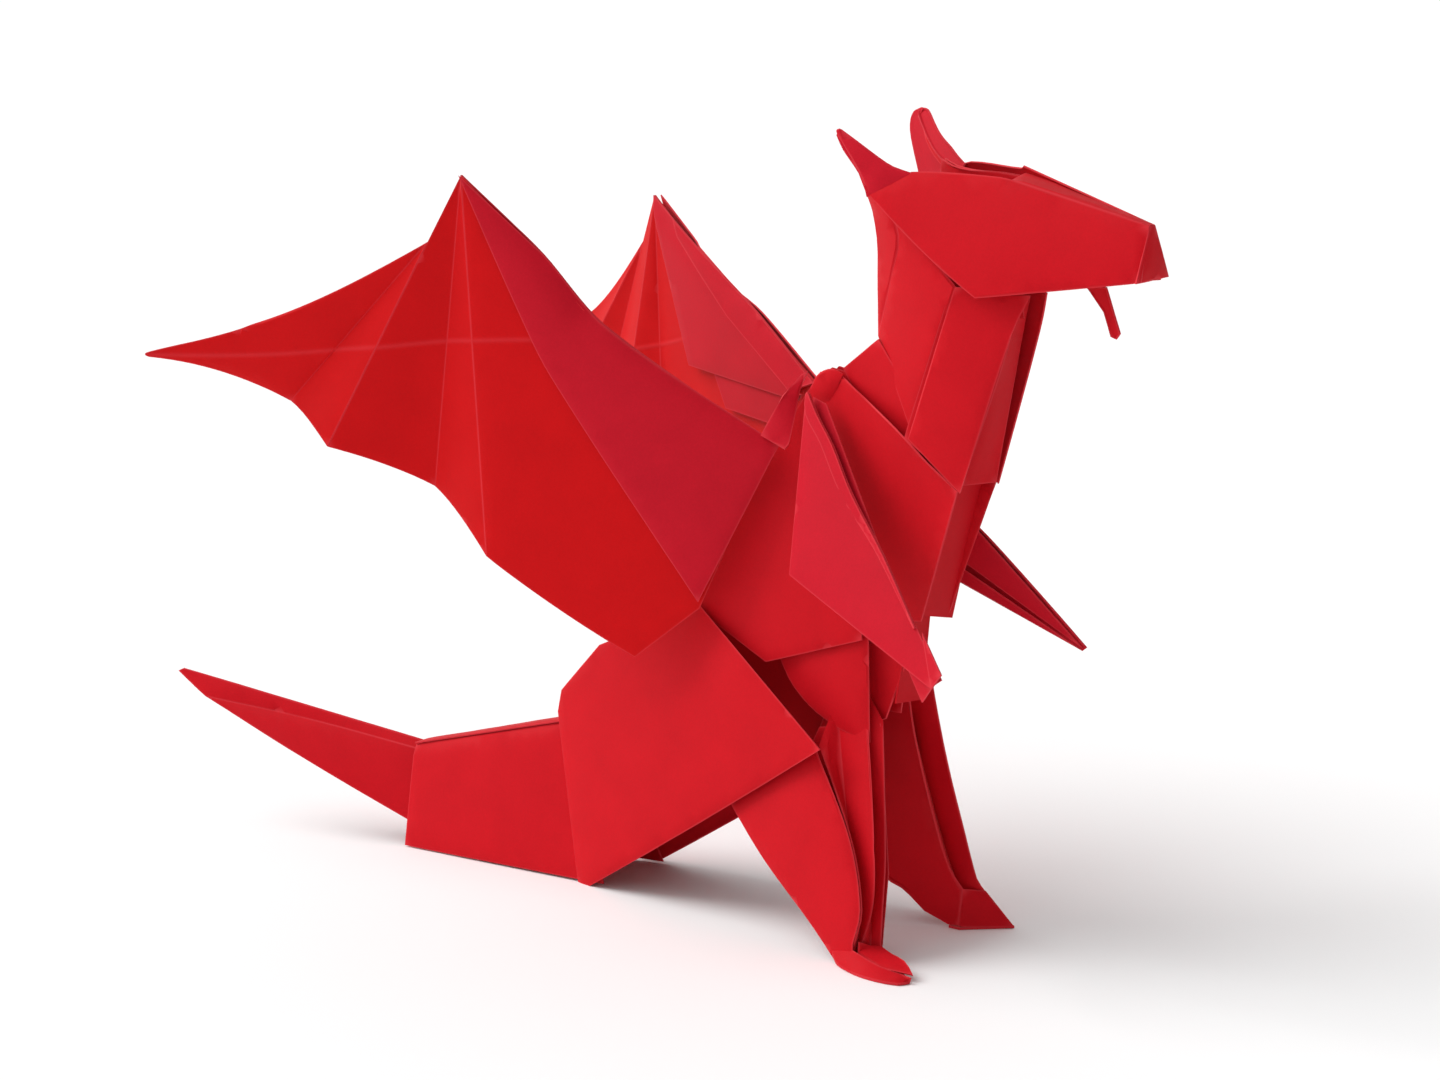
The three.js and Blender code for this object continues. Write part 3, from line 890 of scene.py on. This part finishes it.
def build_head():
    for side in SIDES:
        face = corners[f"{side}_head_panel"]
        snout = beside(face[3], side, -0.7, 0.0, 0.2)
        brow = [along(face[5], face[0], share) + (0.0, 0.0, BROW_RISE[side])
                for share in (0.12, 0.75)]
        outline = [face[0], face[1], face[2], snout, face[4], face[5] + NOTCH[side], *brow]
        panel(f"{side}_head_panel", outline, soft=(6, 7), bulge=0.9,
              bows={1: (-0.3, 0.0, -0.5)}, plain=[(face[0], face[1])])
    build_slit_layers()
    bridge = corners["snout_bridge"]
    panel("snout_bridge", [*bridge[:3], bridge[3] + (-1.2, 0.3, 0.7)], bulge=0.3)
    front = corners["snout_front"]
    cut = [front[0], front[1] + (-1.2, -0.9, 0.1), front[2] + (-0.3, 1.6, 0.6), front[3]]
    panel("snout_front", cut, bulge=0.3)
    root, end, rear = corners["chin_spike"]
    blunt = moved((root, end), (0, -1.2, 0.0, -0.3), (1, -1.2, 0.0, 3.6), (1, 0.0, 0.0, 0.5),
                  (1, -0.7, 0.0, -0.4), (1, -1.7, 0.0, -0.1))
    panel("chin_spike", [*blunt, along(end, rear, 0.48), rear], bulge=0.25)
    build_right_ear()
    build_left_ear()


def build_slit_layers():
    """Layers inside the head, seen on edge in the slit behind the snout."""
    slit = corners["left_head_panel"][5]
    for number, inset in enumerate(SLIT_LAYERS, 1):
        run = around(slit, "right", (0.5, -0.4 - inset, 0.4), (-4.5, -0.2 - inset, 0.9),
                     (-10.0, -inset, 1.0), (-13.5, 0.5 - inset, 1.5), (-16.8, 2.2 - inset, 2.4))
        low = [p - (0.0, 0.0, 1.6 + 0.6 * j) for j, p in enumerate(run)]
        extra(f"head_inner_layer_{number}", [*run, *low[::-1]], "head", BODY, (0.1, -1.0, 0.1),
              soft=(1, 2, 3, 6, 7, 8))


def ear_points(side, *shares):
    """Points of an ear from how far up and how far forward they lie, as shares of its plate."""
    tip, rear, front = corners[f"{side}_ear"]
    base = (rear + front) / 2
    up_ear = tip + EAR_LEAN[side] - base
    return [base + up_ear * up + (front - rear) * ahead for up, ahead in shares]


def build_right_ear():
    """One leaf that runs on from the side of the head, creased along the head's lower edge."""
    top_edge = [(-0.04, 0.52), (0.18, 0.31), (0.38, 0.24), (0.61, 0.19), (0.97, 0.12)]
    turn = [(0.97, 0.0), (0.71, -0.12), (0.46, -0.23), (0.24, -0.34), (0.0, -0.46)]
    rear_edge = [(0.0, -0.60), (0.21, -0.41), (0.44, -0.30), (0.71, -0.21), (0.94, -0.07)]
    base = corners["right_ear"][1:]
    leaf = ear_points("right", *top_edge, (1.0, 0.05), *turn)
    panel("right_ear", leaf, soft=range(1, 10), bulge=0.3, plain=[base])
    lining = np.array(ear_points("right", *turn, *rear_edge)) + (-0.1, 0.35, 0.0)
    extra("right_ear_lining", lining, "right_ear", FLAP, outward["right_ear"],
          soft=(1, 2, 3, 6, 7, 8), plain=[base])


def build_left_ear():
    """A rear leaf and a front leaf, folded along a curve from the tip down into the slit."""
    out = outward["left_ear"]
    rear_edge = [(0.0, -0.5), (0.39, -0.54), (0.62, -0.56), (0.84, -0.55), (0.98, -0.46),
                 (1.04, -0.32)]
    tip = [(1.03, -0.16), (0.99, 0.0)]
    middle = [(0.93, -0.15), (0.75, -0.08), (0.52, 0.03), (0.29, 0.20), (0.02, 0.51)]
    front_edge = [(0.92, 0.13), (0.77, 0.21), (0.58, 0.31), (0.42, 0.44), (0.26, 0.61),
                  (0.09, 0.76), (-0.07, 0.94)]
    inner_edge = [(-0.12, 0.62), (0.0, 0.40), (0.28, 0.10), (0.55, -0.06)]
    leaf = ear_points("left", *rear_edge, *tip, *middle)
    panel("left_ear", leaf, soft=range(1, 12), bulge=0.25)
    lifted = np.array(ear_points("left", *middle, (-0.16, 0.80))) + (0.0, -0.6, 0.0)
    curl = [*ear_points("left", *tip, *front_edge), *lifted[::-1]]
    extra("left_ear_front_leaf", curl, "left_ear", FLAP, -out,
          soft=(1, 2, 3, 4, 5, 6, 7, 10, 11, 12, 13), bulge=-0.4)
    between = np.array(ear_points("left", *middle[1:], *inner_edge)) + (0.0, -0.35, 0.0)
    extra("left_ear_middle_leaf", between, "left_ear", BODY, -out, soft=(1, 2, 3, 5, 6, 7))


# ---- Arms ----

FRONT_SHARES = (0.0, 0.08, 0.19, 0.37, 0.58, 0.83)  # stations down an arm's front edge
HEM_RISE = 0.35  # the hem lies this far off the arm


def build_arms():
    for side in SIDES:
        arm = corners[f"{side}_arm_panel"]
        hollow = mirrored(side, (-3.2, 0.3, 0.0), (-3.2, 0.2, 0.0), (-2.6, 0.2, 0.0),
                          (-2.8, 0.3, 0.0), (-1.3, 0.1, 0.0), (-0.8, 0.1, 0.0))
        front = [along(arm[4], arm[3], share) + inset
                 for share, inset in zip(FRONT_SHARES, hollow)]
        shoulder = beside(arm[0], side, 0.9, -0.6, -1.8)
        tip = [arm[2], arm[3]]
        if side == "left":
            tip = [along(arm[2], arm[3], 0.3), along(arm[2], arm[3], 0.75)]
        panel(f"{side}_arm_panel", [shoulder, arm[1], *tip, *front[::-1]],
              soft=(4, 5, 6, 7, 8), bulge=0.6)
        if side == "right":
            build_arm_hem(front)
    build_right_claws()
    panel("right_arm_lining")
    build_left_arm_inside()


def build_arm_hem(front):
    """The hem folded over along the near arm's front edge, widest in its upper half."""
    widths = ((-0.6, 0.2, -0.4), (-2.4, 0.1, -0.3), (-2.6, 0.2, 0.0), (-2.3, 0.1, -0.2),
              (-1.7, 0.3, 0.3), (-0.4, 0.0, -0.1))
    hem = [p + width for p, width in zip(front, widths)]
    lift = outward["right_arm_panel"] * HEM_RISE
    strip = [*(p + lift * 1.5 for p in front), *(p + lift for p in hem[::-1])]
    extra("right_arm_hem", strip, "right_arm", FLAP, lift, soft=(1, 2, 3, 4, 7, 8, 9, 10))


def build_right_claws():
    """Two small folds that stick out at the near arm's tip."""
    arm = corners["right_arm_panel"]
    out = outward["right_arm_panel"]
    claw = [along(arm[4], arm[3], 0.84), arm[3] + (0.2, -0.4, 0.9), arm[2] + (0.6, -0.6, 0.0)]
    extra("right_arm_claw", claw, "right_arm", FLAP, out)
    hook = [along(arm[1], arm[2], 0.80) + (0.0, 0.9, 0.6), arm[2] + (-2.4, 1.5, -2.9),
            arm[2] + (0.0, 0.6, 0.0)]
    extra("right_arm_hook", hook, "right_arm", FLAP, out)


def build_left_arm_inside():
    """The far arm shows its inside: two folds with a dark slot between them."""
    lining = corners["left_arm_lining"]
    tip = lining[2] + (2.9, 1.4, -0.7)
    inward = (0.0, -0.7, 0.2)
    upper = [lining[0], along(lining[0], lining[1], 0.70) + inward, tip, lining[3]]
    panel("left_arm_lining", upper, bulge=-0.5)
    lower = [along(lining[0], lining[1], 0.80) + inward, lining[1] + (0.5, -0.6, 0.0),
             tip + (0.1, -0.3, -0.3)]
    extra("left_arm_lower_fold", lower, "left_arm", FLAP, outward["left_arm_lining"], bulge=-0.4)


# ---- Legs ----

def build_right_leg():
    outer = corners["right_leg_outer_panel"]
    front = corners["right_leg_front_strip"]
    out = outward["right_leg_outer_panel"]
    edge = moved(outer, (0, -4.5, 0.3, -0.5), (8, 0.0, 0.0, 0.0), (7, 0.0, 0.3, 0.8),
                 (6, -2.8, 0.2, -0.8), (5, -1.2, 0.1, 0.6), (4, 1.3, 0.0, 0.2))
    behind = [
        outer[1], outer[2], along(outer[2], outer[3], 0.45) + (-0.6, 0.0, -0.5),
        outer[3] + (0.0, 0.2, -0.6), outer[4] + (-1.9, 0.0, -1.0),
    ]
    panel("right_leg_outer_panel", [*edge, *behind[::-1]], soft=(2, 3, 7, 8), bulge=0.7)

    # The front is pleated: in to a valley, out to a ridge, in again and out to the inner edge.
    lines = [
        [outer[8] + (-0.4, 1.2, 0.5), edge[2] - out * 0.4, edge[3] - out * 0.4,
         edge[4] - out * 0.3],
        moved(front, (1, -9.4, 3.2, 3.0), (2, -5.6, 1.6, 4.0), (3, -4.0, 1.2, 3.0),
              (3, -3.4, -0.6, -4.0)),
        moved(front, (1, -3.9, 3.2, 7.0), (2, -0.6, 1.5, 5.0), (3, -1.0, 1.0, 4.5),
              (3, -2.8, -1.2, -4.2)),
        moved(front, (0, -4.4, 0.8, 6.0), (2, -3.4, 3.6, 4.0), (3, -2.6, 2.9, 3.2),
              (3, -1.0, 0.4, -4.2)),
        moved(front, (0, 0.2, 0.3, 0.4), (5, 0.0, -1.0, 2.5), (5, 0.9, -2.9, -5.0),
              (4, 0.2, -2.8, -1.6)),
    ]
    strips("right_leg_front_pleats", lines, "right_leg", BODY, ["right_leg_front_strip"],
           plain=[[line[0] for line in lines]])
    inner = corners["right_leg_inner_panel"].copy()
    heel = int(np.argmin(np.linalg.norm(inner - front[4], axis=1)))
    inner[heel] += (-1.2, -0.4, -1.5)
    panel("right_leg_inner_panel", inner, bulge=0.3)
    build_right_foot()


def build_right_foot():
    """A flat sole, the lip folded up along its side, and the upper layer that closes the toe."""
    floor = corners["right_foot"] * TO_FLOOR + OFF_FLOOR
    rim = moved(floor, (0, -2.6, 1.2, 0.0), (0, 2.4, -1.1, 0.0), (1, 0.8, -1.3, 0.0),
                (2, -0.6, -2.8, 0.0), (2, 0.4, -0.9, 0.0))
    panel("right_foot", [*rim, floor[3] + (0.8, -0.8, 0.0)], soft=(1, 2, 3), thick=SOLE)
    shin = corners["right_leg_outer_panel"][4]
    ankle = shin + (1.4, 0.1, 1.6)
    lip = [ankle, ankle + (6.2, -1.5, -1.0), rim[4] + (0.3, 0.0, 0.8)]
    extra("right_foot_lip", [shin + (-3.6, 0.9, 0.8), *rim, *lip[::-1]], "right_leg", BODY,
          (0.2, -1.0, 0.3), soft=(1, 2, 3, 4, 7), bulge=0.3)
    top = [
        ankle + (0.2, 1.0, 1.3), floor[3] + (0.6, -3.2, 2.0), floor[2] + (-2.6, 2.0, 2.1),
        floor[2] + (0.5, -0.2, 1.0), lip[1] + (0.0, 0.5, -0.4), ankle + (0.6, 0.5, -0.8),
    ]
    extra("right_foot_upper_layer", top, "right_leg", BODY, (0.1, -0.3, 1.0), soft=(2,),
          bulge=0.2)


def build_left_leg():
    inner = corners["left_leg_inner_panel"]
    front = corners["left_leg_front_strip"]
    ridge = moved(inner, (0, -0.5, 0.2, 3.0), (0, 0.1, 0.8, -3.0), (5, -2.3, -1.2, 8.0),
                  (5, 0.3, 0.9, -3.3), (4, 0.7, 0.7, 4.5))
    base = inner[4] + (0.4, -0.1, -1.7)
    rear = moved(inner, (4, -1.4, -0.3, -1.8), (3, 8.6, -1.0, -4.6), (3, 5.0, -2.6, -0.8),
                 (3, 1.6, -3.6, 1.2))
    panel("left_leg_inner_panel", [*ridge, base, *rear, inner[2], inner[1]],
          soft=(1, 2, 3, 8, 9), bulge=0.5)
    lines = [
        ridge,
        moved(front, (5, -5.7, -0.3, 2.0), (5, -4.4, 0.9, -3.6), (4, -4.7, -1.9, 5.6),
              (4, -2.0, -0.4, -5.0), (3, -1.0, -2.0, -0.6)),
        moved(front, (5, -0.2, 0.3, 5.0), (5, 1.9, 1.3, -7.0), (4, 1.0, -1.2, 2.6),
              (3, 1.4, -1.0, 3.4), (3, 2.3, 0.2, 1.0)),
    ]
    strips("left_leg_front_pleats", lines, "left_leg", BODY, ["left_leg_front_strip"])
    outer = corners["left_leg_outer_panel"].copy()
    outer[5:8] += ((-2.0, -1.0, 0.0), (-3.0, -1.2, 0.0), (-0.8, -0.4, 0.0))
    panel("left_leg_outer_panel", outer, bulge=0.6)

    # The foot: the toe's upper layer, and the flat sole.
    sole = corners["left_foot"] * TO_FLOOR
    toe_tip = sole[3] + (-1.7, -0.9, 0.3)
    toe = [ridge[4], base, base + (0.9, 0.1, -0.1), toe_tip, lines[2][4]]
    extra("left_foot_toe", toe, "left_leg", BODY, (0.7, -0.4, 0.6), bulge=0.2)
    sole = sole + OFF_FLOOR
    heel = moved(sole, (0, -1.2, 0.2, 0.0), (0, 0.9, 0.2, 0.0))
    ball = moved(sole, (2, 0.0, -1.5, 0.0), (1, 0.8, -1.0, 0.0))
    panel("left_foot", [*heel, toe_tip, *ball], thick=SOLE)


# ---- Tail ----

def build_tail():
    """Two sides that run in under the haunches, and the narrow top between them."""
    rails = {}
    for side in SIDES:
        ring = corners[f"tail_base_{side}"]
        front_top, front_low, rear_low, rear_top = ring[[0, 3, 2, 1]] if side == "right" else ring
        front_top = beside(front_top, side, 4.4, 1.0, 0.8)
        front_low = beside(front_low, side, 6.8, 1.5, 0.0)
        rails[side] = [front_top, rear_top]
        roll = (rails[side], (0.0, -SIDES[side] * 0.5, 0.0), 2.0)
        panel(f"tail_base_{side}", [front_top, front_low, rear_low, rear_top], bulge=0.7,
              presses=[roll])
    ring = np.array([*rails["left"], *rails["right"][::-1]])
    panel("tail_base_top", ring + (0.0, 0.0, 0.35), bulge=0.2)
    build_tail_tip()


def build_tail_tip():
    """A side facet, a narrow upper facet over it, and the far side behind them."""
    end, low_end, low_front, top_front = corners["tail_tip_right"]
    _, far_top, far_low, far_low_end = corners["tail_tip_left"]
    tip = [end + (-0.1, 0.3, -0.3), end + (1.1, 0.4, 0.3)]
    turn = [low_end + (-2.3, -0.6, 0.0), along(low_end, top_front, 0.48) + (-1.1, -0.2, 0.0),
            top_front + (7.0, 1.2, -1.8)]
    ridge_end = far_top + (6.0, 0.2, -0.9)
    low = [along(low_end, low_front, 0.5) + (0.2, 0.0, -0.1), low_front + (5.8, 3.4, -1.9)]
    side = trace([turn[0], *low, turn[2], turn[1]], (1, 4))
    upper = trace([tip[0], *turn, ridge_end, tip[1]], (2,))
    patches = [(outward_loop(side, (0.3, -0.9, 0.1)), 0.3),
               (outward_loop(upper, (-0.1, -0.7, 0.7)), 0.15)]
    place_sheet("tail_tip_right_sheet", patches, "tail_tip", BODY, ["tail_tip_right"])
    far = [tip[1], ridge_end + (0.0, 0.3, 0.0), far_low + (4.4, -1.0, -0.8), far_low_end]
    panel("tail_tip_left", far, bulge=0.3)


# ---- The whole dragon ----

build_neck()
build_head()
build_arms()
build_right_leg()
build_left_leg()
build_tail()
build_gusset()
build_chest_front()
build_shoulder_and_belly_folds()
build_spine()
for side in SIDES:
    build_wing(side)
    build_torso(side)

# Every CAD plate that has no sheet of its own yet gets a plain one.
done = {node for piece in bpy.data.objects for node in piece.get("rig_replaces", [])}
for node in sorted(set(frame["nodes"]) - done):
    panel(node, bulge=0.3)
